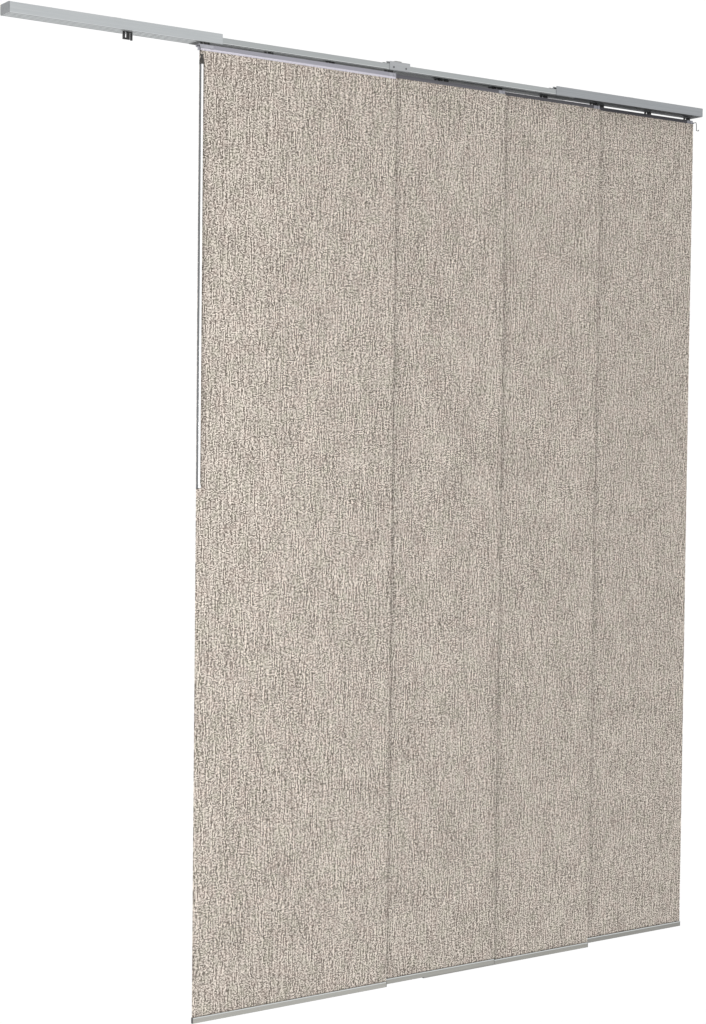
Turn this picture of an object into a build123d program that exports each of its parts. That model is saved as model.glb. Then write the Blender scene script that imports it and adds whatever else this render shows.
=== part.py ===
from build123d import *
import os

os.makedirs("parts", exist_ok=True)

# A four-lane panel track blind, drawn out as it hangs in use.
# X runs along the track to the right, Y runs from the room towards the window, Z is up.
# The origin is on the ceiling, at the middle of the track's length and depth.
# Panel 1 hangs in the front lane, panel 4 in the rear one.

# Track, in millimetres
lane_count = 4
lane_pitch = 12.0
track_length = 2226.0
outer_rail_length = 568.0
outer_height = 25.0
outer_wall = 1.2
outer_edge_radius = 0.9
top_recess = 3.4
foot_lip = 2.6
foot_height = 1.2
inner_height = 16.0
inner_wall = 0.6
nest_gap = 0.2
nest_overlap = 70.0
rail_joint_gap = 0.5
end_cap_thickness = 3.0
end_cap_plug_depth = 8.0
end_cap_plug_height = 4.0
end_cap_chamfer = 0.6
plug_gap = 0.2

# Joining sleeve in the middle of the track
connector_length = 66.0
connector_height = 23.0
connector_wall = 1.4
connector_fit = 0.1
connector_screw_spacing = 40.0
connector_screw_drop = 15.0
connector_screw_radius = 1.4
connector_screw_head_radius = 2.4
connector_screw_head_height = 1.2
connector_screw_head_chamfer = 0.5
screw_fit = 0.05

# Ceiling clips
ceiling_space = 1.8
clip_offset = 830.0
clip_length = 24.0
clip_depth = 36.0
clip_thickness = 1.5
clip_corner = 3.0
clip_hole_radius = 2.25
clip_hole_spacing = 29.0
clip_rib_wall = 1.2
clip_rib_lip = 2.5
clip_rib_lip_height = 1.0
clip_channel_width = 18.0
clip_seat_gap = 0.3
swivel_length = 17.0
swivel_width = 11.5
swivel_thickness = 1.4
rivet_radius = 2.5
rivet_head_radius = 3.4
rivet_head_height = 0.6
rivet_fit = 0.1

# Gliders: a shoe in the lane, and a looped leg and a tongue that clip into a carrier
glider_length = 28.0
glider_nose = 2.0
glider_head_height = 6.0
glider_side_gap = 0.25
glider_run_gap = 0.1
glider_neck_gap = 0.6
glider_leg_reach = 19.2
glider_loop_width = 18.0
glider_window_width = 4.5
glider_window_offset = 5.5
glider_web = 4.0
glider_slit = 2.5
glider_tongue_width = 5.0
glider_tongue_extra = 1.0
glider_shoulder = 1.5
glider_inset = 20.0
middle_glider_shifts = (0.0, 0.0, 0.0, 27.0)
gliders_per_panel = 4
spare_glider_x = -795.5

# Carriers, the profiles that the panels hang from
carrier_gap = 6.4
carrier_thickness = 6.4
carrier_wall = 1.0
carrier_height = 27.0
carrier_channel_depth = 15.0
carrier_lip_height = 1.0
carrier_lip_gap = 0.2
barb_gap = 0.1
barb_side_gap = 0.2
tape_top = 10.3
tape_height = 16.0
tape_thickness = 1.2

# End pieces of the carriers, with the catches that let a panel draw the next one along
end_piece_cap = 1.6
end_piece_side = 0.8
end_piece_top_inset = 0.8
end_piece_side_height = 9.0
end_piece_plug = 4.0
end_piece_skirt = 15.5
end_piece_radius = 1.2
left_catch_reach = 40.0
right_catch_reach = 22.0
catch_length = 12.0
catch_height = 7.0
catch_proud = 2.9
catch_ramp = 3.0
catch_bevel = 0.4
stop_gap = 0.3
stop_length = 7.7

# Panels
panel_width = 597.0
panel_drop = 2434.0
drop_trims = (-3.0, 0.0, 7.0, -1.0)
hang_offsets = (6.0, 0.0, 0.0, 0.0)
end_margin = 3.0
panel_overlaps = (217.5, 238.0, 215.0)
fabric_thickness = 1.0
header_thickness = 0.95
header_height = 20.0
header_gap = 0.05

# Bottom bars
bar_height = 15.0
bar_thickness = 7.2
bar_radius = 1.8
bar_wall = 1.2
bar_slot_gap = 0.3
bar_slot_depth = 3.0
bar_cap_thickness = 1.5
bar_cap_plug = 8.0
welt_thickness = 3.4
welt_height = 3.0
welt_gap = 0.2
bar_floor = 1.4

# Wand, with the wire hook that hangs it
eye_offset = 4.5
eye_radius = 2.9
eye_thickness = 2.0
eye_drop = 12.5
wire_radius = 1.0
wire_sides = 8
wire_fit = 0.08
wire_bend = 1.8
hook_tail = 4.0
hook_tail_rise = 3.5
hook_side_step = 2.0
hook_drop = 24.0
hook_slope_drop = 8.0
hook_toe_rise = 3.5
wand_clearance = 1.2
wand_width = 9.6
wand_length = 1056.0
wand_inset = 2.0
ferrule_radius = 6.0
ferrule_height = 15.0
ferrule_shoulder = 5.0
ferrule_grip = 9.0
ferrule_top_radius = 3.2
ferrule_ear_width = 3.0
ferrule_ear_radius = 2.8
ferrule_ear_height = 7.0
tip_height = 10.0
tip_wall = 0.9
tip_chamfer = 0.45
socket_fit = 0.05

# How near to its nominal place an edge counts as lying on it, and how much of a wall a rounding may take
edge_tolerance = 0.01
rounding_share = 0.8

# Heights and depths that follow from the sizes above
rail_top = -ceiling_space
rail_bottom = rail_top - outer_height
rail_depth = lane_count * lane_pitch + outer_wall
web_top = rail_top - top_recess
wall_places = [(i - lane_count / 2) * lane_pitch for i in range(lane_count + 1)]
lane_places = [(i - (lane_count - 1) / 2) * lane_pitch for i in range(lane_count)]
box_half = lane_pitch / 2 - outer_wall / 2 - nest_gap
lane_half = box_half - inner_wall
drop_half = lane_pitch / 2 - outer_wall / 2 - foot_lip - nest_gap
slot_half = drop_half - inner_wall
neck_thickness = 2 * (slot_half - glider_neck_gap)
ledge_low = rail_bottom + foot_height + nest_gap
ledge_top = ledge_low + inner_wall
bridge_low = rail_bottom - nest_gap - inner_wall
carrier_top = rail_bottom - carrier_gap
carrier_half = carrier_thickness / 2
channel_half = carrier_half - carrier_wall
sheet_offset = -(carrier_half + tape_thickness + header_gap + header_thickness + fabric_thickness / 2)
wand_offset = sheet_offset - fabric_thickness / 2 - wand_clearance - ferrule_radius
track_half = track_length / 2
outer_start = track_half - end_cap_thickness
carrier_length = panel_width - 2 * end_piece_cap

# Left edge of each panel, from the rear one at the right end of the track to the front one
panel_lefts = [track_half - end_margin - panel_width]
for overlap in reversed(panel_overlaps):
    panel_lefts.insert(0, panel_lefts[0] + overlap - panel_width)

fabric_tops = [carrier_top - tape_top - hang for hang in hang_offsets]
bar_bottoms = [top - panel_drop - trim for top, trim in zip(fabric_tops, drop_trims)]


def save(piece, name):
    """Label a finished piece and write it to its own file."""
    piece.part.label = name
    export_step(piece.part, f"parts/{name}.step")


def ceiling_ribs():
    """Two hooked ribs that stand on a rail's recessed web, for the ceiling clips."""
    rib_top = -clip_thickness - clip_seat_gap
    lip_z = rib_top - clip_rib_lip_height / 2
    for sign in (-1, 1):
        rib_y = sign * (clip_channel_width + clip_rib_wall) / 2
        lip_y = rib_y - sign * clip_rib_lip / 2
        with Locations((rib_y, (web_top + rib_top) / 2)):
            Rectangle(clip_rib_wall, rib_top - web_top)
        with Locations((lip_y, lip_z)):
            Rectangle(clip_rib_lip + clip_rib_wall, clip_rib_lip_height)


def outer_rail(start):
    """A length of the outer extrusion: a recessed web, two fascias, lane walls, and a foot under each wall."""
    with BuildPart() as rail:
        with BuildSketch(Plane.YZ.offset(start)):
            with Locations((0, web_top - outer_wall / 2)):
                Rectangle(rail_depth, outer_wall)
            with Locations([(y, (rail_top + rail_bottom) / 2) for y in (wall_places[0], wall_places[-1])]):
                Rectangle(outer_wall, outer_height)
            with Locations([(y, (web_top + rail_bottom) / 2) for y in wall_places[1:-1]]):
                Rectangle(outer_wall, web_top - rail_bottom)
            with Locations([(y, rail_bottom + foot_height / 2) for y in wall_places]):
                Rectangle(outer_wall + 2 * foot_lip, foot_height)
            with Locations((0, (rail_top + rail_bottom) / 2)):
                Rectangle(rail_depth, outer_height, mode=Mode.INTERSECT)
            ceiling_ribs()
        extrude(amount=outer_rail_length)
        corners = rail.edges().filter_by(Axis.X).filter_by(
            lambda e: abs(abs(e.center().Y) - rail_depth / 2) < edge_tolerance
        )
        fillet(corners, min(outer_edge_radius, rounding_share * outer_wall))
    return rail


def inner_rail(start, length):
    """A length of the inner extrusion: four boxes, joined under the outer rail's feet."""
    with BuildPart() as rail:
        with BuildSketch(Plane.YZ.offset(start)):
            box_top = rail_bottom + inner_height
            with Locations([(y, box_top - inner_wall / 2) for y in lane_places]):
                Rectangle(2 * box_half, inner_wall)
            sides = [y + s * (lane_half + inner_wall / 2) for y in lane_places for s in (-1, 1)]
            with Locations([(y, (box_top + ledge_low) / 2) for y in sides]):
                Rectangle(inner_wall, box_top - ledge_low)
            ledge = box_half - slot_half
            ledges = [y + s * (slot_half + ledge / 2) for y in lane_places for s in (-1, 1)]
            with Locations([(y, (ledge_low + ledge_top) / 2) for y in ledges]):
                Rectangle(ledge, inner_wall)
            drops = [y + s * (slot_half + inner_wall / 2) for y in lane_places for s in (-1, 1)]
            with Locations([(y, (ledge_top + bridge_low) / 2) for y in drops]):
                Rectangle(inner_wall, ledge_top - bridge_low)
            bridge = lane_pitch - 2 * slot_half
            with Locations([(y, bridge_low + inner_wall / 2) for y in wall_places]):
                Rectangle(bridge, inner_wall)
            depth = 2 * (lane_places[-1] + box_half)
            with Locations((0, (box_top + bridge_low) / 2)):
                Rectangle(depth, box_top - bridge_low, mode=Mode.INTERSECT)
        extrude(amount=length)
    return rail


def end_cap(side):
    """The moulded cap on an outer rail's end; side is -1 at the left and 1 at the right."""
    with BuildPart() as cap:
        face = side * outer_start
        with BuildSketch(Plane.YZ.offset(face)):
            with Locations((0, (rail_top + rail_bottom) / 2)):
                RectangleRounded(rail_depth, outer_height, outer_edge_radius)
        extrude(amount=side * end_cap_thickness)
        chamfer(cap.faces().sort_by(Axis.X)[-1 if side > 0 else 0].edges(), end_cap_chamfer)
        with BuildSketch(Plane.YZ.offset(face)):
            plug_top = web_top - outer_wall - plug_gap
            with Locations([(y, plug_top - end_cap_plug_height / 2) for y in lane_places]):
                Rectangle(lane_pitch - outer_wall - 2 * plug_gap, end_cap_plug_height)
        extrude(amount=-side * end_cap_plug_depth)
    return cap


def glider(x, lane):
    """One glider with its middle at x, in the lane whose middle is at depth lane."""
    head_low = ledge_top + glider_run_gap
    leg_low = rail_bottom - glider_leg_reach
    barb_top = carrier_top - carrier_lip_height - barb_gap
    barb = 2 * (channel_half - barb_side_gap)
    left = x - glider_length / 2
    with BuildPart() as shoe:
        with BuildSketch(Plane.XY.offset(head_low)) as head:
            with Locations((x, lane)):
                Rectangle(glider_length, 2 * (lane_half - glider_side_gap))
            chamfer(head.vertices(), glider_nose)
        extrude(amount=glider_head_height)
        for thickness, top in ((neck_thickness, head_low), (barb, barb_top)):
            with BuildSketch(Plane.XZ.offset(-lane)):
                loop_x = left + glider_loop_width / 2
                tongue_x = left + glider_loop_width + glider_slit + glider_tongue_width / 2
                with Locations((loop_x, (top + leg_low) / 2)):
                    Rectangle(glider_loop_width, top - leg_low)
                tongue_low = leg_low - glider_tongue_extra
                with Locations((tongue_x, (top + tongue_low) / 2)):
                    Rectangle(glider_tongue_width, top - tongue_low)
                if top == head_low:
                    shoulder = rail_bottom - glider_shoulder
                    plate = glider_loop_width + glider_slit + glider_tongue_width
                    with Locations((left + plate / 2, (top + shoulder) / 2)):
                        Rectangle(plate, top - shoulder)
                window_top = min(top, rail_bottom - glider_shoulder)
                window_low = leg_low + glider_web
                window_x = left + glider_window_offset + glider_window_width / 2
                with Locations((window_x, (window_top + window_low) / 2)):
                    Rectangle(glider_window_width, window_top - window_low, mode=Mode.SUBTRACT)
            extrude(amount=thickness / 2, both=True)
    return shoe


def end_piece(left_edge, lane, side, eye):
    """The moulding on a carrier's end; side is -1 at the left and 1 at the right."""
    edge = left_edge if side < 0 else left_edge + panel_width
    inner_face = edge - side * end_piece_cap
    reach = left_catch_reach if side < 0 else right_catch_reach
    outer_half = carrier_half + end_piece_side
    tip_half = outer_half + catch_proud
    side_low = carrier_top - end_piece_top_inset - end_piece_side_height
    catch_low = side_low + (end_piece_side_height - catch_height) / 2
    with BuildPart() as piece:
        # Cap over the carrier's end, with its lower corners rounded
        with BuildSketch(Plane.YZ.offset(edge)):
            with Locations((lane, carrier_top - end_piece_skirt / 2)):
                Rectangle(2 * outer_half, end_piece_skirt)
        extrude(amount=-side * end_piece_cap)
        lower_corners = piece.edges().filter_by(Axis.X).group_by(Axis.Z)[0]
        fillet(lower_corners, end_piece_radius)
        # Plug in the carrier's channel
        with BuildSketch(Plane.YZ.offset(inner_face)):
            plug_top = carrier_top - carrier_lip_height - barb_side_gap
            plug_height = carrier_channel_depth - carrier_lip_height - carrier_wall - 2 * barb_side_gap
            with Locations((lane, plug_top - plug_height / 2)):
                Rectangle(2 * (channel_half - barb_side_gap), plug_height)
        extrude(amount=-side * end_piece_plug)
        # Cheeks along the carrier's two faces
        with BuildSketch(Plane.XY.offset(side_low)):
            for sign, length in ((-1, reach), (1, right_catch_reach)):
                with Locations((edge - side * length / 2, lane + sign * (carrier_half + end_piece_side / 2))):
                    Rectangle(length, end_piece_side)
        extrude(amount=end_piece_side_height)
        # Catch that draws the next panel along: in front at the left end, behind at the right end
        with BuildSketch(Plane.XY.offset(catch_low)):
            face_x = edge - side * reach
            back_x = face_x + side * catch_length
            slope = catch_ramp if side < 0 else 0
            with BuildLine():
                Polyline(
                    (face_x, lane + side * outer_half),
                    (face_x, lane + side * tip_half),
                    (back_x - side * slope, lane + side * tip_half),
                    (back_x, lane + side * outer_half),
                    close=True,
                )
            make_face()
            # Stop that the panel in front comes up against when the panels stack
            if side > 0:
                stop_x = back_x + stop_gap
                with BuildLine():
                    Polyline(
                        (stop_x, lane - outer_half),
                        (stop_x, lane - tip_half),
                        (stop_x + stop_length - catch_ramp, lane - tip_half),
                        (stop_x + stop_length, lane - outer_half),
                        close=True,
                    )
                make_face()
        extrude(amount=catch_height)
        tips = piece.edges().filter_by(Axis.Z).filter_by(
            lambda e: abs(abs(e.center().Y - lane) - tip_half) < edge_tolerance
        )
        chamfer(tips, catch_bevel)
        if eye:
            eye_z = rail_bottom - eye_drop
            with BuildSketch(Plane.XZ.offset(-lane)):
                with Locations((edge + side * eye_offset / 2, eye_z)):
                    Rectangle(eye_offset, 2 * eye_radius)
                with Locations((edge + side * eye_offset, eye_z)):
                    Circle(eye_radius)
                    Circle(wire_radius + wire_fit, mode=Mode.SUBTRACT)
            extrude(amount=eye_thickness / 2, both=True)
    return piece


def wire_hook(eye_x, lane):
    """The bent wire that hangs in the eye at eye_x: down in front of the panel, with a toe for the wand."""
    eye_z = rail_bottom - eye_drop
    front_y = lane + wand_offset
    leg_x = eye_x + hook_side_step
    toe_x = eye_x + 2 * (eye_offset + wand_inset) - hook_side_step
    low = eye_z - hook_drop
    points = [
        (eye_x, lane + hook_tail, eye_z + hook_tail_rise),
        (eye_x, lane + hook_tail, eye_z),
        (eye_x, front_y, eye_z),
        (leg_x, front_y, eye_z - hook_slope_drop),
        (leg_x, front_y, low),
        (toe_x, front_y, low),
        (toe_x, front_y, low + hook_toe_rise),
    ]
    with BuildPart() as hook:
        with BuildLine() as path:
            FilletPolyline(*points, radius=wire_bend)
        with BuildSketch(Plane(points[0], z_dir=(0, 0, -1))):
            RegularPolygon(wire_radius, wire_sides)
        sweep(path=path.wires()[0])
    return hook


# Outer rails, drawn out as far as the photograph shows
save(outer_rail(-outer_start), "outer_rail_left")
save(outer_rail(outer_start - outer_rail_length), "outer_rail_right")

# Inner rails, each from the middle of the track into its outer rail
inner_reach = outer_start - outer_rail_length + nest_overlap
inner_length = inner_reach - rail_joint_gap / 2
save(inner_rail(-inner_reach, inner_length), "inner_rail_left")
save(inner_rail(rail_joint_gap / 2, inner_length), "inner_rail_right")

# Joining sleeve: a hood with two feet in the inner rails' grooves and a rib on top of each lane
sleeve_top = rail_bottom + connector_height
sleeve_depth = 2 * (lane_places[-1] + box_half + connector_fit + connector_wall)
screw_z = sleeve_top - connector_screw_drop
screw_places = [-connector_screw_spacing / 2, connector_screw_spacing / 2]
with BuildPart() as rail_connector:
    with BuildSketch(Plane.YZ):
        with Locations((0, web_top - connector_wall / 2)):
            Rectangle(sleeve_depth, connector_wall)
        sleeve_wall_y = (sleeve_depth - connector_wall) / 2
        with Locations([(s * sleeve_wall_y, (sleeve_top + rail_bottom) / 2) for s in (-1, 1)]):
            Rectangle(connector_wall, connector_height)
        sleeve_foot = connector_wall + foot_lip - nest_gap
        sleeve_foot_y = (sleeve_depth - sleeve_foot) / 2
        with Locations([(s * sleeve_foot_y, rail_bottom + foot_height / 2) for s in (-1, 1)]):
            Rectangle(sleeve_foot, foot_height)
        rib_low = rail_bottom + inner_height + connector_fit
        with Locations([(y, (web_top + rib_low) / 2) for y in lane_places]):
            Rectangle(connector_wall, web_top - rib_low)
        ceiling_ribs()
    extrude(amount=connector_length / 2, both=True)
    sleeve_corners = rail_connector.edges().filter_by(Axis.X).filter_by(
        lambda e: abs(abs(e.center().Y) - sleeve_depth / 2) < edge_tolerance
    )
    fillet(sleeve_corners, min(outer_edge_radius, rounding_share * connector_wall))
    for sign in (-1, 1):
        for place in screw_places:
            with Locations(Plane((place, sign * sleeve_depth / 2, screw_z), z_dir=(0, sign, 0))):
                Hole(connector_screw_radius + screw_fit, depth=connector_wall)
save(rail_connector, "rail_connector")

# Screws through the sleeve that clamp it on the inner rails, with bevelled heads
with BuildPart() as connector_screws:
    for sign in (-1, 1):
        for place in screw_places:
            seat = Plane((place, sign * sleeve_depth / 2, screw_z), z_dir=(0, sign, 0))
            with BuildSketch(seat):
                Circle(connector_screw_head_radius)
            extrude(amount=connector_screw_head_height)
            with BuildSketch(seat):
                Circle(connector_screw_radius)
            extrude(amount=-(connector_wall + connector_fit))
    rim_y = sleeve_depth / 2 + connector_screw_head_height
    rims = connector_screws.edges().filter_by(GeomType.CIRCLE).filter_by(
        lambda e: abs(abs(e.arc_center.Y) - rim_y) < edge_tolerance
    )
    chamfer(rims, min(connector_screw_head_chamfer, rounding_share * connector_screw_head_height))
save(connector_screws, "connector_screws")

save(end_cap(-1), "end_cap_left")
save(end_cap(1), "end_cap_right")

# Ceiling clips: a plate with two screw holes, and a swivel that locks under the rail's ribs
clip_places = {"left": -clip_offset, "centre": 0.0, "right": clip_offset}
for clip_name, clip_x in clip_places.items():
    with BuildPart() as clip_plate:
        with BuildSketch(Plane.XY.offset(-clip_thickness)) as clip_outline:
            with Locations((clip_x, 0)):
                Rectangle(clip_length, clip_depth)
            chamfer(clip_outline.vertices(), clip_corner)
            with Locations([(clip_x, s * clip_hole_spacing / 2) for s in (-1, 1)]):
                Circle(clip_hole_radius, mode=Mode.SUBTRACT)
        extrude(amount=clip_thickness)
        with Locations((clip_x, 0, 0)):
            CounterBoreHole(
                rivet_radius + rivet_fit,
                rivet_head_radius + rivet_fit,
                rivet_head_height + rivet_fit,
                depth=clip_thickness,
            )
    save(clip_plate, f"clip_plate_{clip_name}")

    lip_under = -clip_thickness - clip_seat_gap - clip_rib_lip_height
    with BuildPart() as clip_swivel:
        with BuildSketch(Plane.XY.offset(lip_under - clip_seat_gap)):
            with Locations((clip_x, 0)):
                SlotOverall(swivel_length, swivel_length, rotation=90)
                Rectangle(swivel_width, swivel_length, mode=Mode.INTERSECT)
        extrude(amount=-swivel_thickness)
        with BuildSketch(Plane.XY.offset(lip_under - clip_seat_gap)):
            with Locations((clip_x, 0)):
                Circle(rivet_radius)
        extrude(amount=clip_seat_gap - lip_under - rivet_fit)
        with BuildSketch(Plane.XY.offset(-rivet_fit)):
            with Locations((clip_x, 0)):
                Circle(rivet_head_radius)
        extrude(amount=rivet_fit - rivet_head_height)
    save(clip_swivel, f"clip_swivel_{clip_name}")

# Panels, from the front lane to the rear one
for index in range(lane_count):
    number = index + 1
    lane = lane_places[index]
    left = panel_lefts[index]
    middle = left + panel_width / 2
    sheet_y = lane + sheet_offset
    fabric_top = fabric_tops[index]
    bar_bottom = bar_bottoms[index]
    bar_top = bar_bottom + bar_height

    # Aluminium carrier: a lipped channel above, and a long front wall that holds the tape
    with BuildPart() as carrier:
        with BuildSketch(Plane.YZ.offset(left + end_piece_cap)):
            with Locations((lane, carrier_top - carrier_channel_depth / 2)):
                Rectangle(carrier_thickness, carrier_channel_depth)
            cavity = carrier_channel_depth - carrier_lip_height - carrier_wall
            with Locations((lane, carrier_top - carrier_lip_height - cavity / 2)):
                Rectangle(2 * channel_half, cavity, mode=Mode.SUBTRACT)
            with Locations((lane, carrier_top - carrier_lip_height / 2)):
                Rectangle(neck_thickness + 2 * carrier_lip_gap, carrier_lip_height, mode=Mode.SUBTRACT)
            with Locations((lane - carrier_half + carrier_wall / 2, carrier_top - carrier_height / 2)):
                Rectangle(carrier_wall, carrier_height)
        extrude(amount=carrier_length)
    save(carrier, f"carrier_{number}")

    # Hook tape on the carrier's front wall
    with BuildPart() as hook_tape:
        with BuildSketch(Plane.YZ.offset(left + end_piece_cap)):
            tape_y = lane - carrier_half - tape_thickness / 2
            with Locations((tape_y, carrier_top - tape_top - tape_height / 2)):
                Rectangle(tape_thickness, tape_height)
        extrude(amount=carrier_length)
    save(hook_tape, f"hook_tape_{number}")

    # Gliders, spread between the two that stand by the carrier's ends; the middle ones may lie off centre
    with BuildPart() as gliders:
        spread = (panel_width - 2 * glider_inset) / (gliders_per_panel - 1)
        for place in range(gliders_per_panel):
            shift = middle_glider_shifts[index] if 0 < place < gliders_per_panel - 1 else 0
            add(glider(left + glider_inset + place * spread + shift, lane).part)
    save(gliders, f"gliders_{number}")

    # End pieces; the first panel's left one and the last panel's right one carry an eye
    save(end_piece(left, lane, -1, number == 1), f"end_piece_{number}_left")
    save(end_piece(left, lane, 1, number == lane_count), f"end_piece_{number}_right")

    # Fabric: a sheet with a doubled header behind its top edge and a welt along its foot
    with BuildPart() as fabric:
        with BuildSketch(Plane.YZ.offset(left)):
            with Locations((sheet_y, (fabric_top + bar_top) / 2)):
                Rectangle(fabric_thickness, fabric_top - bar_top)
            header_y = sheet_y + (fabric_thickness + header_thickness) / 2
            with Locations((header_y, fabric_top - header_height / 2)):
                Rectangle(header_thickness, header_height)
        extrude(amount=panel_width)
        welt_inset = bar_cap_thickness + welt_gap
        welt_z = bar_top - bar_slot_depth - welt_gap - welt_height / 2
        with BuildSketch(Plane.YZ.offset(left + welt_inset)):
            with Locations((sheet_y, (bar_top + welt_z) / 2)):
                Rectangle(fabric_thickness, bar_top - welt_z)
            with Locations((sheet_y, welt_z)):
                Rectangle(welt_thickness, welt_height)
        extrude(amount=panel_width - 2 * welt_inset)
    save(fabric, f"fabric_{number}")

    # Bottom bar: a hollow extrusion with a rounded foot, and the welt's chamber under its slot
    with BuildPart() as bottom_bar:
        chamber_height = welt_height + 2 * welt_gap
        chamber_top = bar_top - bar_slot_depth
        hollow_top = chamber_top - chamber_height - bar_wall
        hollow_low = bar_bottom + bar_floor
        with BuildSketch(Plane.YZ.offset(left + bar_cap_thickness)) as bar_outline:
            with Locations((sheet_y, (bar_top + bar_bottom) / 2)):
                Rectangle(bar_thickness, bar_height)
            fillet(bar_outline.vertices().group_by(Axis.Y)[0], bar_radius)
            with Locations((sheet_y, bar_top - bar_slot_depth / 2)):
                Rectangle(fabric_thickness + 2 * bar_slot_gap, bar_slot_depth, mode=Mode.SUBTRACT)
            with Locations((sheet_y, chamber_top - chamber_height / 2)):
                Rectangle(welt_thickness + 2 * welt_gap, chamber_height, mode=Mode.SUBTRACT)
            with Locations((sheet_y, (hollow_top + hollow_low) / 2)):
                Rectangle(bar_thickness - 2 * bar_wall, hollow_top - hollow_low, mode=Mode.SUBTRACT)
        extrude(amount=panel_width - 2 * bar_cap_thickness)
    save(bottom_bar, f"bottom_bar_{number}")

    # Caps on the bar's ends, each with a plug in the bar's hollow
    for cap_name, outward in (("left", -1), ("right", 1)):
        cap_face = middle + outward * (panel_width / 2 - bar_cap_thickness)
        with BuildPart() as bar_cap:
            with BuildSketch(Plane.YZ.offset(cap_face)) as cap_outline:
                with Locations((sheet_y, (bar_top + bar_bottom) / 2)):
                    Rectangle(bar_thickness, bar_height)
                fillet(cap_outline.vertices().group_by(Axis.Y)[0], bar_radius)
            extrude(amount=outward * bar_cap_thickness)
            with BuildSketch(Plane.YZ.offset(cap_face)):
                with Locations((sheet_y, (hollow_top + hollow_low) / 2)):
                    Rectangle(
                        bar_thickness - 2 * bar_wall - 2 * plug_gap,
                        hollow_top - hollow_low - 2 * plug_gap,
                    )
            extrude(amount=-outward * bar_cap_plug)
        save(bar_cap, f"bar_cap_{number}_{cap_name}")

# A free glider, parked in a lane to the left of the panels
save(glider(spare_glider_x, lane_places[1]), "spare_glider")

# Wire hooks in the two eyes; the left one carries the wand, the right one is free
save(wire_hook(panel_lefts[0] - eye_offset, lane_places[0]), "wand_hook")
save(wire_hook(panel_lefts[-1] + panel_width + eye_offset, lane_places[-1]), "spare_hook")

# Wand: a ferrule that narrows to an ear for the hook, a clear six-sided rod and a tip
wand_x = panel_lefts[0] + wand_inset
wand_y = lane_places[0] + wand_offset
pin_z = rail_bottom - eye_drop - hook_drop
ferrule_top = pin_z - ferrule_ear_height
ferrule_low = ferrule_top - ferrule_height
rod_top = ferrule_low + ferrule_grip
rod_low = rod_top - wand_length
shoulder_z = ferrule_top - ferrule_shoulder
with BuildPart() as wand_ferrule:
    with BuildSketch(Plane.XZ.offset(-wand_y)):
        with BuildLine():
            Polyline(
                (wand_x, ferrule_top),
                (wand_x, ferrule_low),
                (wand_x + ferrule_radius, ferrule_low),
                (wand_x + ferrule_radius, shoulder_z),
                (wand_x + ferrule_top_radius, ferrule_top),
                close=True,
            )
        make_face()
    revolve(axis=Axis((wand_x, wand_y, 0), (0, 0, 1)))
    with BuildSketch(Plane.YZ.offset(wand_x)):
        with Locations((wand_y, (pin_z + ferrule_top) / 2)):
            Rectangle(2 * ferrule_ear_radius, pin_z - ferrule_top)
        with Locations((wand_y, pin_z)):
            Circle(ferrule_ear_radius)
            Circle(wire_radius + wire_fit, mode=Mode.SUBTRACT)
    extrude(amount=ferrule_ear_width / 2, both=True)
    with BuildSketch(Plane.XY.offset(ferrule_low)):
        with Locations((wand_x, wand_y)):
            RegularPolygon(wand_width / 2 + socket_fit, 6, major_radius=False)
    extrude(amount=ferrule_grip, mode=Mode.SUBTRACT)
save(wand_ferrule, "wand_ferrule")

with BuildPart() as wand_rod:
    with BuildSketch(Plane.XY.offset(rod_low)):
        with Locations((wand_x, wand_y)):
            RegularPolygon(wand_width / 2, 6, major_radius=False)
    extrude(amount=wand_length)
save(wand_rod, "wand_rod")

with BuildPart() as wand_tip:
    tip_low = rod_low - tip_wall
    with BuildSketch(Plane.XY.offset(tip_low)):
        with Locations((wand_x, wand_y)):
            RegularPolygon(wand_width / 2 + tip_wall, 6, major_radius=False)
    extrude(amount=tip_height)
    chamfer(wand_tip.faces().sort_by(Axis.Z)[0].edges(), min(tip_chamfer, rounding_share * tip_wall))
    with BuildSketch(Plane.XY.offset(rod_low)):
        with Locations((wand_x, wand_y)):
            RegularPolygon(wand_width / 2 + socket_fit, 6, major_radius=False)
    extrude(amount=tip_height, mode=Mode.SUBTRACT)
save(wand_tip, "wand_tip")
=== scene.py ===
from math import pi, radians, sin

import bpy
from mathutils import Matrix, Vector


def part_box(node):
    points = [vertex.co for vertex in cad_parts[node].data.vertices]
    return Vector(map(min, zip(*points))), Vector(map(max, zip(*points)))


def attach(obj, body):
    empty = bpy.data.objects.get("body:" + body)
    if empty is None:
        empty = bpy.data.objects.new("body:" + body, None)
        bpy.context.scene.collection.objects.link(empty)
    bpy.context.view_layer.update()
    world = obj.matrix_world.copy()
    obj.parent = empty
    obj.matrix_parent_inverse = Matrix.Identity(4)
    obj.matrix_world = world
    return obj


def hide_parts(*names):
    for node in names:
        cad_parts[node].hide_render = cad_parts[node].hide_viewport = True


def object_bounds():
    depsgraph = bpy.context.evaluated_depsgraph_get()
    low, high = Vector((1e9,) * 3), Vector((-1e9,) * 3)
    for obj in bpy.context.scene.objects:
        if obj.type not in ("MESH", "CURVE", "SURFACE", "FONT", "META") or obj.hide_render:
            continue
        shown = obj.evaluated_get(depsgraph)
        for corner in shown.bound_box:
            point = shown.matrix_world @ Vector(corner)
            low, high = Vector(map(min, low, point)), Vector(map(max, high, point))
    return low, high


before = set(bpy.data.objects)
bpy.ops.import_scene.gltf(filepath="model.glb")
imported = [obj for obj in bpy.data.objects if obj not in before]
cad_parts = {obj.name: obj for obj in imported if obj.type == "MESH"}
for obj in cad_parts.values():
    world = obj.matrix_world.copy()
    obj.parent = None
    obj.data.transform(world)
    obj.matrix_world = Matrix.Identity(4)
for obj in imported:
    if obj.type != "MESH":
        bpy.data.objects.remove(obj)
cad_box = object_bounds()

MM = 0.001
PANELS = (1, 2, 3, 4)


# Material tools

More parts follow.
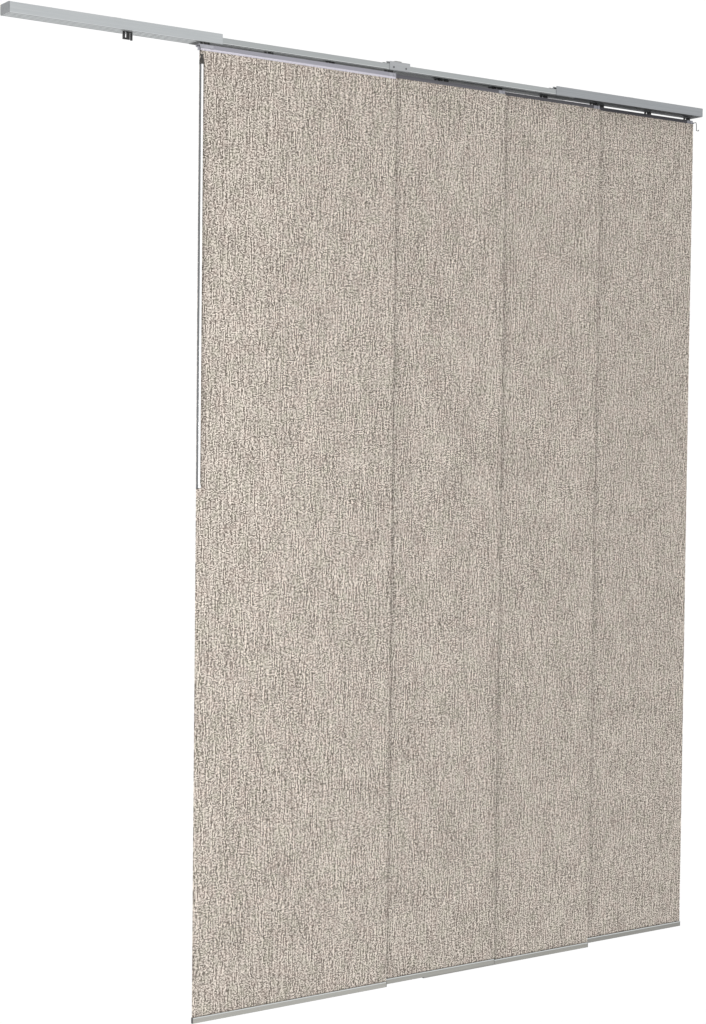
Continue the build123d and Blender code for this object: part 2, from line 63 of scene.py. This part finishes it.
def linear(hex_colour):
    """An sRGB hex colour as linear RGBA."""
    channels = [int(hex_colour[i:i + 2], 16) / 255 for i in (1, 3, 5)]
    return [c / 12.92 if c <= 0.04045 else ((c + 0.055) / 1.055) ** 2.4 for c in channels] + [1.0]


def add(tree, kind, settings=None, **inputs):
    """Adds a node: settings are its properties, inputs its sockets, by name or as _number."""
    new = tree.nodes.new("ShaderNode" + kind)
    for name, value in (settings or {}).items():
        setattr(new, name, value)
    for name, value in inputs.items():
        socket = new.inputs[int(name[1:])] if name[0] == "_" else new.inputs[name.replace("_", " ")]
        if isinstance(value, bpy.types.NodeSocket):
            tree.links.new(value, socket)
        else:
            socket.default_value = value
    return new


def new_material(name):
    """An empty material with its shader and output: returns the material, its tree and the shader."""
    material = bpy.data.materials.new(name)
    material.use_nodes = True
    tree = material.node_tree
    tree.nodes.clear()
    shader = add(tree, "BsdfPrincipled")
    output = add(tree, "OutputMaterial")
    tree.links.new(shader.outputs["BSDF"], output.inputs["Surface"])
    return material, tree, shader


# Patterns start away from the noise's lattice planes, where it is flat
PATTERN_START = (3.37, 5.71, 1.93)

# Nearly all of a noise lies in its spread. The middle is a narrower part of it, for clearer patches.
NOISE_SPREAD = (0.3, 0.7)
NOISE_MIDDLE = (0.35, 0.65)


def stretched_noise(tree, period, detail=2.0):
    """Noise whose features measure about period, in millimetres along X, Y and Z."""
    place = add(tree, "TexCoord").outputs["Object"]
    scaled = add(tree, "Mapping", _0=place, _1=PATTERN_START, Scale=[1 / (p * MM) for p in period])
    return add(tree, "TexNoise", Vector=scaled.outputs["Vector"], Scale=1.0, Detail=detail).outputs["Fac"]


def maths(tree, first, second, operation="ADD"):
    """Two values put together by a plain operation, a sum unless another is named."""
    return add(tree, "Math", {"operation": operation}, _0=first, _1=second).outputs[0]


def ramp(tree, factor, low, high, start=0.0, end=1.0):
    """factor from low to high, spread over start to end and cut off there."""
    return add(tree, "MapRange", _0=factor, _1=low, _2=high, _3=start, _4=end).outputs["Result"]


def blend_colours(tree, factor, first, second):
    """A mix of two colours, each a hex colour or a socket."""
    pair = [linear(c) if isinstance(c, str) else c for c in (first, second)]
    return add(tree, "Mix", {"data_type": "RGBA"}, _0=factor, _6=pair[0], _7=pair[1]).outputs[2]


def place_along(tree, axis):
    """The place on the piece along one axis, in metres."""
    return add(tree, "SeparateXYZ", _0=add(tree, "TexCoord").outputs["Object"]).outputs[axis]


def facing_along(tree, axis):
    """How far the surface faces along one axis, from -1 to 1."""
    return add(tree, "SeparateXYZ", _0=add(tree, "TexCoord").outputs["Normal"]).outputs[axis]


def relief(tree, height, depth):
    """Bump of that height field, depth in millimetres."""
    return add(tree, "Bump", Strength=1.0, Distance=depth * MM, Height=height).outputs["Normal"]


# Metals and plastics

ANODISED_METALLIC = 0.85
ANODISED_ROUGHNESS = (0.38, 0.48)
# Painted shade: faces turning down from -0.3 to -0.8, and hollows within a lane's depth, take the
# underside colour
DOWNWARD = (-0.3, -0.8)
LANE_DEPTH = 14 * MM
LANE_SHADE = (0.8, 0.35)
# A lip's painted highlight: a pale band whose edges fade over 0.4 mm
LIP_FADE = 0.4 * MM
LIP_PAINTED_HIGHLIGHT = "#CDD0D0"
PLATED_ROUGHNESS = (0.26, 0.42)


def anodised_aluminium(name, colour, shade, painted_light_below, lip=None):
    """Extruded aluminium, etched and anodised: an even satin grey with faint lines along the extrusion.

    Faces that look down and the insides of the lanes take the underside colour, painted as shade: dark
    on all but the left rail, where it is a pale painted light. A lip is a band, between two heights,
    painted paler as a painted highlight.
    """
    material, tree, shader = new_material(name)
    lines = stretched_noise(tree, (220.0, 0.9, 0.9), detail=3.0)
    clouds = stretched_noise(tree, (160.0, 60.0, 60.0), detail=1.0)
    drawn = blend_colours(tree, ramp(tree, lines, *NOISE_SPREAD), colour, shade)
    tone = blend_colours(tree, ramp(tree, clouds, *NOISE_MIDDLE, 0.0, 0.35), drawn, shade)
    # Painted highlight: the lip's band is painted paler
    if lip:
        height = place_along(tree, "Z")
        above_foot = ramp(tree, height, lip[0], lip[0] + LIP_FADE)
        below_head = ramp(tree, height, lip[1], lip[1] - LIP_FADE)
        tone = blend_colours(tree, maths(tree, above_foot, below_head, "MULTIPLY"), tone, LIP_PAINTED_HIGHLIGHT)
    # Painted shade, or a pale painted light on the left rail, on faces that look down and in the lanes'
    # hollows
    downward = ramp(tree, facing_along(tree, "Z"), *DOWNWARD)
    lane_sky = add(tree, "AmbientOcclusion", {"only_local": True, "samples": 8}, Distance=LANE_DEPTH)
    dark = maths(tree, downward, ramp(tree, lane_sky.outputs["AO"], *LANE_SHADE), "MAXIMUM")
    painted_shade_tone = blend_colours(tree, dark, tone, painted_light_below)
    tree.links.new(painted_shade_tone, shader.inputs["Base Color"])
    rough = ramp(tree, lines, *NOISE_SPREAD, *ANODISED_ROUGHNESS)
    tree.links.new(rough, shader.inputs["Roughness"])
    tree.links.new(relief(tree, lines, 0.02), shader.inputs["Normal"])
    shader.inputs["Metallic"].default_value = ANODISED_METALLIC
    return material


def moulded_plastic(name, colour, shade, roughness=0.5):
    """Moulded ABS or acetal, and spun polyester: one colour with a fine grain and a soft sheen."""
    material, tree, shader = new_material(name)
    grain = stretched_noise(tree, (0.5, 0.5, 0.5), detail=2.0)
    clouds = stretched_noise(tree, (9.0, 9.0, 9.0), detail=1.0)
    tone = blend_colours(tree, ramp(tree, clouds, *NOISE_MIDDLE), colour, shade)
    tree.links.new(tone, shader.inputs["Base Color"])
    rough = ramp(tree, grain, *NOISE_SPREAD, roughness - 0.05, roughness + 0.08)
    tree.links.new(rough, shader.inputs["Roughness"])
    tree.links.new(relief(tree, grain, 0.03), shader.inputs["Normal"])
    shader.inputs["IOR"].default_value = 1.5
    return material


def plated_steel(name, colour, shade):
    """Zinc-plated steel: a cool grey metal with a slightly cloudy plating."""
    material, tree, shader = new_material(name)
    clouds = stretched_noise(tree, (2.5, 2.5, 2.5), detail=3.0)
    tone = blend_colours(tree, ramp(tree, clouds, *NOISE_MIDDLE), colour, shade)
    tree.links.new(tone, shader.inputs["Base Color"])
    rough = ramp(tree, clouds, *NOISE_SPREAD, *PLATED_ROUGHNESS)
    tree.links.new(rough, shader.inputs["Roughness"])
    tree.links.new(relief(tree, clouds, 0.01), shader.inputs["Normal"])
    shader.inputs["Metallic"].default_value = 1.0
    return material


ACRYLIC_ROUGHNESS = (0.04, 0.09)
ACRYLIC_TURNED = (-0.35, -0.8)
ACRYLIC_EDGE = (0.3, 0.65)
CUT_FACE = (1.6 * MM, 0.8 * MM)


def clear_acrylic(name, foot):
    """Extruded clear acrylic, with painted reflections: white in front, grey where it turns away, dark at
    its rims. Its cut foot is dark.
    """
    material, tree, shader = new_material(name)
    lines = stretched_noise(tree, (1.2, 1.2, 400.0), detail=1.0)
    # Painted reflections: grey on the facets turned left, dark at the rims
    left_facet = ramp(tree, facing_along(tree, "X"), *ACRYLIC_TURNED)
    turned = blend_colours(tree, left_facet, "#FFFFFF", "#66686A")
    edge = ramp(tree, add(tree, "LayerWeight", Blend=0.5).outputs["Facing"], *ACRYLIC_EDGE)
    painted_rim_reflection = blend_colours(tree, edge, turned, "#4E5052")
    cut = ramp(tree, place_along(tree, "Z"), foot + CUT_FACE[0], foot + CUT_FACE[1])
    tree.links.new(blend_colours(tree, cut, painted_rim_reflection, "#3C3C3C"), shader.inputs["Base Color"])
    rough = ramp(tree, lines, *NOISE_SPREAD, *ACRYLIC_ROUGHNESS)
    tree.links.new(rough, shader.inputs["Roughness"])
    shader.inputs["Transmission Weight"].default_value = 0.2
    shader.inputs["IOR"].default_value = 1.49
    return material


# Cloth

def hook_tape_nylon(name):
    """Hook tape: a pale woven nylon band with rows of small clear hooks, which scatter the light."""
    material, tree, shader = new_material(name)
    hooks = stretched_noise(tree, (1.4, 1.4, 1.4), detail=2.0)
    rows = stretched_noise(tree, (60.0, 5.0, 1.6), detail=1.0)
    tone = blend_colours(tree, ramp(tree, hooks, *NOISE_MIDDLE), "#B0ACB6", "#D6D3DC")
    banded = blend_colours(tree, ramp(tree, rows, 0.4, 0.6, 0.0, 0.5), tone, "#BEBAC6")
    tree.links.new(banded, shader.inputs["Base Color"])
    tree.links.new(relief(tree, hooks, 0.35), shader.inputs["Normal"])
    shader.inputs["Roughness"].default_value = 0.6
    shader.inputs["Sheen Weight"].default_value = 0.2
    return material


# The weave's real threads are about 0.5 mm, too fine to show, so they are drawn as bundles. Each kind
# of bundle is a cell, so many millimetres across the panel and up it.
THREAD = (3.2, 2.8)
SHORT_SLUB = (3.2, 10.0)
LONG_SLUB = (3.2, 29.0)
WEFT_SLUB = (58.0, 2.8)

# Each part of the weave: its cell, its share and how much it stands off from the bundle beside it
WEAVE = ((THREAD, 0.60, 0.6), (SHORT_SLUB, 0.34, 0.9), (LONG_SLUB, 0.29, 0.9), (WEFT_SLUB, 0.05, 0.0))

# The weave's values from its darkest to its palest thread, and how far the dye strays from them.
# A rarity above 1 makes pale threads fewer.
WEAVE_SPREAD = (0.28, 0.98)
DYE_STRAY = 0.05
PALE_RARITY = 1.25
WEAVE_RELIEF = 0.15
DARK_THREAD = "#524A42"
PALE_THREAD = "#DCD2C7"

# Two faint tints in soft patches: cool where the mottle is high and warm where it is low
TINT_SHARE = 0.14
COOL_TINT = "#A4A790"
COOL_SIDE = (0.52, 0.68)
WARM_TINT = "#B49F96"
WARM_SIDE = (0.48, 0.32)

# Painted shade: the cloth is painted darker where a bar or header nips it, and close to any other part
NIP_REACH = 5 * MM
NIP_SHADE = (0.85, 0.5)
NIP_SHARE = 0.7
NIP_PAINTED_SHADE_COLOUR = "#3A342E"


def woven_cell(tree, cell, lane_shift=0.0):
    """A random value for each cell of the weave, cell millimetres across and up, in staggered rows.

    The shift gives the value of a thread beside it instead.
    """
    along_x = maths(tree, place_along(tree, "X"), cell[0] * MM, "DIVIDE")
    along_z = maths(tree, place_along(tree, "Z"), cell[1] * MM, "DIVIDE")
    upright = cell[1] >= cell[0]
    lane, run = (along_x, along_z) if upright else (along_z, along_x)
    lane_number = maths(tree, maths(tree, lane, lane_shift), 0.0, "FLOOR")
    stagger = add(tree, "TexWhiteNoise", {"noise_dimensions": "1D"}, W=lane_number).outputs["Value"]
    run_number = maths(tree, maths(tree, run, stagger), 0.0, "FLOOR")
    corner = add(tree, "CombineXYZ", X=lane_number, Y=run_number, Z=cell[1]).outputs["Vector"]
    return add(tree, "TexWhiteNoise", {"noise_dimensions": "3D"}, Vector=corner).outputs["Value"]


def crossing_threads(tree, cell, share, beside):
    """The cells' values less a part of their neighbours', which sets each thread off from the next."""
    own = maths(tree, woven_cell(tree, cell), share, "MULTIPLY")
    next_lane = maths(tree, woven_cell(tree, cell, lane_shift=1.0), -share * beside, "MULTIPLY")
    return maths(tree, maths(tree, own, next_lane), share * beside / 2)


def slubbed_linen(name):
    """Slubbed linen weave, taupe: pale and dark threads, with slubs that run up the panel."""
    material, tree, shader = new_material(name)
    parts = [crossing_threads(tree, cell, share, beside) for cell, share, beside in WEAVE]
    weave = maths(tree, maths(tree, parts[0], parts[1]), maths(tree, parts[2], parts[3]))
    unevenness = stretched_noise(tree, (50.0, 50.0, 80.0), detail=2.0)
    dyed = maths(tree, weave, ramp(tree, unevenness, *NOISE_SPREAD, -DYE_STRAY, DYE_STRAY))
    shade = maths(tree, ramp(tree, dyed, *WEAVE_SPREAD), PALE_RARITY, "POWER")
    tone = blend_colours(tree, shade, DARK_THREAD, PALE_THREAD)
    mottle = stretched_noise(tree, (32.0, 60.0, 32.0), detail=1.0)
    cool = blend_colours(tree, ramp(tree, mottle, *COOL_SIDE, 0.0, TINT_SHARE), tone, COOL_TINT)
    warm = blend_colours(tree, ramp(tree, mottle, *WARM_SIDE, 0.0, TINT_SHARE), cool, WARM_TINT)
    # Painted shade where other surfaces crowd the cloth
    open_sky = add(tree, "AmbientOcclusion", {"samples": 6}, Distance=NIP_REACH).outputs["AO"]
    nip_painted_shade = blend_colours(tree, ramp(tree, open_sky, *NIP_SHADE, 0.0, NIP_SHARE), warm, NIP_PAINTED_SHADE_COLOUR)
    tree.links.new(nip_painted_shade, shader.inputs["Base Color"])
    tree.links.new(relief(tree, weave, WEAVE_RELIEF), shader.inputs["Normal"])
    shader.inputs["Roughness"].default_value = 0.9
    shader.inputs["Sheen Weight"].default_value = 0.08
    shader.inputs["Sheen Roughness"].default_value = 0.5
    shader.inputs["IOR"].default_value = 1.4
    return material


RAIL_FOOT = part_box("inner_rail_left")[0].z
# The lowest 4 mm of the inner rails carry the lip's painted highlight
RAIL_LIP = 4 * MM
# Painted light: the two outer rails are one extrusion, the left painted paler and the right greyer
LIT_LEFT_RAIL_ALUMINIUM = anodised_aluminium("left_rail_anodised_aluminium", "#BDC0C1", "#B2B6B8", "#D0D3D4")
SHADED_RIGHT_RAIL_ALUMINIUM = anodised_aluminium("right_rail_anodised_aluminium", "#A3A6A9", "#989B9E", "#47494B")
# The last colour of each rail and of the sleeve is its painted shade underneath, pale painted light on the
# left rail
INNER_ALUMINIUM = anodised_aluminium("inner_rail_anodised_aluminium", "#B0B3B3", "#A3A7A8", "#3C3F41",
                                     lip=(RAIL_FOOT, RAIL_FOOT + RAIL_LIP))
SLEEVE_ALUMINIUM = anodised_aluminium("sleeve_anodised_aluminium", "#B1B3B5", "#A6A8AA", "#4A4D4F")
CAP_PLASTIC = moulded_plastic("end_cap_moulded_abs", "#7E8082", "#76797B")
END_PIECE_PLASTIC = moulded_plastic("end_piece_moulded_abs", "#9C9CA3", "#919198")
BAR_CAP_PLASTIC = moulded_plastic("bar_cap_moulded_abs", "#4A4A4A", "#404040")
GLIDER_ACETAL = moulded_plastic("glider_moulded_acetal", "#131313", "#1C1C1C", roughness=0.38)
FERRULE_PLASTIC = moulded_plastic("wand_fitting_moulded_abs", "#2C2A28", "#37342F", roughness=0.42)
CLIP_STEEL = plated_steel("clip_zinc_plated_steel", "#C0C1BD", "#AFB0AD")
SCREW_STEEL = plated_steel("screw_zinc_plated_steel", "#6C6C6E", "#57575A")
WIRE_STEEL = plated_steel("hook_plated_wire", "#343436", "#262628")
WAND_ACRYLIC = clear_acrylic("wand_clear_acrylic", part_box("wand_tip")[0].z)
TAPE_NYLON = hook_tape_nylon("hook_tape_woven_nylon")
LINEN = slubbed_linen("panel_slubbed_linen")
THREAD_POLYESTER = moulded_plastic("stitching_polyester_thread", "#B9AFA3", "#A89E92", roughness=0.7)


# Tools of the bench

ROUNDING_STEPS = 2

# Edges that turn by more than this many degrees are sharp, the others are shaded smooth
SHARP_ANGLE = 40


def deselect():
    """Nothing selected, and out of edit mode."""
    if bpy.context.object and bpy.context.object.mode != "OBJECT":
        bpy.ops.object.mode_set(mode="OBJECT")
    bpy.ops.object.select_all(action="DESELECT")


def block(low, high, rounding):
    """A box between two corners, with its edges rounded by that radius."""
    deselect()
    middle = (Vector(low) + Vector(high)) / 2
    bpy.ops.mesh.primitive_cube_add(size=1, location=middle)
    piece = bpy.context.object
    piece.scale = Vector(high) - Vector(low)
    bpy.ops.object.transform_apply(location=True, rotation=True, scale=True)
    bpy.ops.object.mode_set(mode="EDIT")
    bpy.ops.mesh.select_all(action="SELECT")
    bpy.ops.mesh.bevel(offset=rounding, segments=ROUNDING_STEPS, affect="EDGES")
    bpy.ops.object.mode_set(mode="OBJECT")
    return piece


def join(pieces):
    """Several objects as one, which is the first."""
    deselect()
    for piece in pieces:
        piece.select_set(True)
    bpy.context.view_layer.objects.active = pieces[0]
    bpy.ops.object.join()
    return pieces[0]


def apply(piece, modifier):
    """Applies a modifier of the piece."""
    bpy.context.view_layer.objects.active = piece
    bpy.ops.object.modifier_apply(modifier=modifier.name)


def finish_piece(piece, name, material, body=None, smooth=None):
    """Names a new piece, gives it its material, body and slot, and leaves its place in its mesh."""
    deselect()
    piece.select_set(True)
    bpy.context.view_layer.objects.active = piece
    piece.name = name
    piece.data.name = name
    piece.data.materials.clear()
    piece.data.materials.append(material)
    bpy.ops.object.transform_apply(location=True, rotation=True, scale=True)
    if smooth:
        bpy.ops.object.shade_smooth_by_angle(angle=radians(smooth))
    if body:
        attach(piece, body)
    return piece


def paint(material, *nodes):
    """Gives CAD nodes their material."""
    for node in nodes:
        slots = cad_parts[node].data.materials
        slots.clear()
        slots.append(material)


# Panels

SHEET = 0.8 * MM
HEADER_HEIGHT = 20 * MM
HEADER_THICKNESS = 0.9 * MM
HEADER_ROUNDING = 0.2 * MM
WELT_HEIGHT = 3 * MM
WELT_ROUNDING = 0.8 * MM
BAR_CAP_REACH = 1.7 * MM
GRID_ACROSS = 44
GRID_UP = 150
CUP = 1.1 * MM
RIPPLE = 0.6 * MM
WAVES_ACROSS = 1.4
WAVES_UP = 1.1

# How far the ripple of each panel is shifted from the last one's, across and up, in waves
SHIFT_ACROSS = 0.6
SHIFT_UP = 0.27

STITCH_PITCH = 3.6 * MM
STITCH_LENGTH = 2.7 * MM
STITCH_RADIUS = 0.22 * MM
STITCH_SIDES = 6
STITCH_ROWS = (2.5 * MM, 17.0 * MM)


def fabric_panel(number):
    """One panel of linen: flat as it hangs, a little cupped and rippled between its header and its bar."""
    body = f"panel_{number}"
    low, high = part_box(f"fabric_{number}")
    bar_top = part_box(f"bottom_bar_{number}")[1].z
    header_low = high.z - HEADER_HEIGHT
    width = high.x - low.x
    length = high.z - low.z
    middle = (low + high) / 2
    deselect()
    bpy.ops.mesh.primitive_grid_add(x_subdivisions=GRID_ACROSS, y_subdivisions=GRID_UP, size=1)
    sheet = bpy.context.object
    sheet.matrix_world = Matrix.Translation(middle) @ Matrix.Rotation(pi / 2, 4, "X")
    sheet.scale = (width, length, 1)
    bpy.ops.object.transform_apply(location=True, rotation=True, scale=True)
    bpy.ops.object.mode_set(mode="EDIT")
    for height in (bar_top, header_low):
        bpy.ops.mesh.select_all(action="SELECT")
        bpy.ops.mesh.bisect(plane_co=(0, 0, height), plane_no=(0, 0, 1))
    bpy.ops.object.mode_set(mode="OBJECT")
    for v in sheet.data.vertices:
        across = (v.co.x - middle.x) / (width / 2)
        up = min(max((v.co.z - bar_top) / (header_low - bar_top), 0), 1)
        free = sin(pi * up)
        wave_across = sin(2 * pi * (WAVES_ACROSS * across + SHIFT_ACROSS * number))
        wave_up = sin(2 * pi * (WAVES_UP * up + SHIFT_UP * number))
        ripple = RIPPLE * (1 + wave_across * wave_up)
        v.co.y = middle.y + (CUP * (1 - across * across) + ripple) * free
        if v.co.z < bar_top - SHEET:
            v.co.x = min(max(v.co.x, low.x + BAR_CAP_REACH), high.x - BAR_CAP_REACH)
    thick = sheet.modifiers.new("thickness", "SOLIDIFY")
    thick.thickness = SHEET
    thick.offset = 0
    apply(sheet, thick)
    welt_low = (low.x + BAR_CAP_REACH, low.y, low.z)
    welt_high = (high.x - BAR_CAP_REACH, high.y, low.z + WELT_HEIGHT)
    piece = join([sheet, block(welt_low, welt_high, WELT_ROUNDING)])
    finish_piece(piece, f"linen_panel_{number}", LINEN, body, smooth=SHARP_ANGLE)
    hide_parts(f"fabric_{number}")
    back = middle.y + SHEET / 2
    band_high = (high.x, back + HEADER_THICKNESS, high.z)
    band = block((low.x, back, header_low), band_high, HEADER_ROUNDING)
    finish_piece(band, f"loop_band_{number}", TAPE_NYLON, body, smooth=SHARP_ANGLE)
    seam = stitching(number, low, high, middle.y - SHEET / 2)


def stitching(number, low, high, front):
    """Two rows of lock stitch that hold the loop band behind the top edge."""
    rows = []
    for drop in STITCH_ROWS:
        deselect()
        bpy.ops.mesh.primitive_cylinder_add(vertices=STITCH_SIDES, radius=STITCH_RADIUS,
                                            depth=STITCH_LENGTH, rotation=(0, pi / 2, 0))
        row = bpy.context.object
        row.location = (low.x + STITCH_PITCH, front, high.z - drop)
        bpy.ops.object.transform_apply(location=True, rotation=True, scale=True)
        run = row.modifiers.new("run", "ARRAY")
        run.use_relative_offset = False
        run.use_constant_offset = True
        run.constant_offset_displace = (STITCH_PITCH, 0, 0)
        run.count = int((high.x - low.x) / STITCH_PITCH) - 1
        apply(row, run)
        rows.append(row)
    return finish_piece(join(rows), f"header_stitching_{number}", THREAD_POLYESTER, f"panel_{number}",
                        smooth=SHARP_ANGLE)


# Wand

ROD_SIDES = 6
ROD_EDGE = 0.9 * MM
ROD_EDGE_STEPS = 3
ROD_SHARP_ANGLE = 70


def wand_rod():
    """The six-sided rod, with its long edges softly rounded as extruded acrylic has them."""
    low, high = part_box("wand_rod")
    deselect()
    radius = (high.x - low.x) / 2
    bpy.ops.mesh.primitive_cylinder_add(vertices=ROD_SIDES, radius=radius, depth=high.z - low.z,
                                        location=(low + high) / 2, rotation=(0, 0, pi / 2))
    rod = bpy.context.object
    bpy.ops.object.transform_apply(location=True, rotation=True, scale=True)
    round_edges = rod.modifiers.new("round_edges", "BEVEL")
    round_edges.width = ROD_EDGE
    round_edges.segments = ROD_EDGE_STEPS
    round_edges.limit_method = "ANGLE"
    round_edges.angle_limit = radians(SHARP_ANGLE)
    apply(rod, round_edges)
    finish_piece(rod, "wand_clear_rod", WAND_ACRYLIC, "wand", smooth=ROD_SHARP_ANGLE)
    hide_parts("wand_rod")


for number in PANELS:
    fabric_panel(number)
wand_rod()

# The light falls off from the left and each panel hangs behind the last, so their metal is painted greyer
# in turn, a painted shade
CARRIER_PAINTED_LIGHT_GREYS = (("#A5A4AC", "#97969F"), ("#737277", "#656469"),
                 ("#69686C", "#5B5A5E"), ("#5C5B5F", "#4F4E52"))
CARRIER_PAINTED_SHADE = "#3E3E42"
# Painted shade as for the carriers: each bar is painted greyer than the one to its left, and darker
# underneath
BAR_PAINTED_LIGHT_GREYS = (("#AFAEA8", "#A5A49F"), ("#A6A59F", "#9B9A95"),
             ("#A09F99", "#95948F"), ("#979691", "#8C8B87"))
BAR_PAINTED_SHADE = "#77777A"
# The top 2.8 mm of each bar carries the lip's painted highlight
BAR_LIP = 2.8 * MM

paint(LIT_LEFT_RAIL_ALUMINIUM, "outer_rail_left")
paint(SHADED_RIGHT_RAIL_ALUMINIUM, "outer_rail_right")
paint(INNER_ALUMINIUM, "inner_rail_left", "inner_rail_right")
paint(SLEEVE_ALUMINIUM, "rail_connector")
paint(CAP_PLASTIC, "end_cap_left", "end_cap_right")
paint(SCREW_STEEL, "connector_screws")
paint(GLIDER_ACETAL, "spare_glider")
paint(WIRE_STEEL, "wand_hook", "spare_hook")
paint(FERRULE_PLASTIC, "wand_ferrule")
paint(WAND_ACRYLIC, "wand_tip")
for place in ("left", "centre", "right"):
    paint(CLIP_STEEL, f"clip_plate_{place}", f"clip_swivel_{place}")
for number in PANELS:
    carrier_grey, carrier_shade = CARRIER_PAINTED_LIGHT_GREYS[number - 1]
    carrier_metal = anodised_aluminium(f"carrier_{number}_anodised_aluminium",
                                       carrier_grey, carrier_shade, CARRIER_PAINTED_SHADE)
    paint(carrier_metal, f"carrier_{number}")
    paint(TAPE_NYLON, f"hook_tape_{number}")
    paint(GLIDER_ACETAL, f"gliders_{number}")
    paint(END_PIECE_PLASTIC, f"end_piece_{number}_left", f"end_piece_{number}_right")
    bar_grey, bar_shade = BAR_PAINTED_LIGHT_GREYS[number - 1]
    bar_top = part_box(f"bottom_bar_{number}")[1].z
    bar_metal = anodised_aluminium(f"bottom_bar_{number}_anodised_aluminium",
                                   bar_grey, bar_shade, BAR_PAINTED_SHADE, lip=(bar_top - BAR_LIP, bar_top))
    paint(bar_metal, f"bottom_bar_{number}")
    paint(BAR_CAP_PLASTIC, f"bar_cap_{number}_left", f"bar_cap_{number}_right")


# Studio

FLOOR_DROP = 1.2
FLOOR_SIZE = 60
FLOOR_SHIFT = 10
WHITE = (1.0, 1.0, 1.0, 1.0)
WHITE_LEVEL = 1.02
KEY_PLACE = (-2.3, -1.6, -1.2)
KEY_TARGET = (-0.1, 0.0, -1.2)
KEY_SIZE = 0.7
KEY_POWER = 37


def soft_light(name, place, target, size, power):
    """A square soft box at its place, turned to its target."""
    light = bpy.data.lights.new(name, "AREA")
    light.shape = "SQUARE"
    light.size = size
    light.energy = power
    lamp = bpy.data.objects.new(name, light)
    bpy.context.scene.collection.objects.link(lamp)
    lamp.location = place
    lamp.rotation_euler = (Vector(target) - Vector(place)).to_track_quat("-Z", "Y").to_euler()


PALE_FLOOR, _, floor_shader = new_material("studio_floor")
floor_shader.inputs["Base Color"].default_value = WHITE
floor_shader.inputs["Roughness"].default_value = 1.0
floor_shader.inputs["Specular IOR Level"].default_value = 0.0
deselect()
floor_place = (0, FLOOR_SHIFT, cad_box[0][2] - FLOOR_DROP)
bpy.ops.mesh.primitive_plane_add(size=FLOOR_SIZE, location=floor_place)
finish_piece(bpy.context.object, "studio_floor", PALE_FLOOR)

world = bpy.data.worlds.new("studio_white")
bpy.context.scene.world = world
world.use_nodes = True
background = world.node_tree.nodes["Background"]
background.inputs["Color"].default_value = WHITE
background.inputs["Strength"].default_value = WHITE_LEVEL

soft_light("key_softbox", KEY_PLACE, KEY_TARGET, KEY_SIZE, KEY_POWER)

# Camera, fitted to the rail's, bars' and panels' edges in the photograph
CAMERA_PLACE = (-2847.5, -4033.8, -1025.1)
CAMERA_YAW = 34.08
CAMERA_PITCH = -2.03
CAMERA_ROLL = 0.63
FOCAL_PIXELS = 1837.6
PHOTO_HEIGHT = 1024
SENSOR_WIDTH = 36.0
FARTHEST = 100.0

camera_data = bpy.data.cameras.new("camera")
camera_data.sensor_width = SENSOR_WIDTH
camera_data.lens = FOCAL_PIXELS * SENSOR_WIDTH / PHOTO_HEIGHT
camera_data.clip_end = FARTHEST
camera = bpy.data.objects.new("camera", camera_data)
bpy.context.scene.collection.objects.link(camera)
turn = Matrix.Rotation(radians(-CAMERA_YAW), 4, "Z") @ Matrix.Rotation(radians(90 + CAMERA_PITCH), 4, "X")
turn = turn @ Matrix.Rotation(radians(CAMERA_ROLL), 4, "Z")
camera.matrix_world = Matrix.Translation(Vector(CAMERA_PLACE) * MM) @ turn
bpy.context.scene.camera = camera
bpy.context.scene.view_settings.view_transform = "Standard"
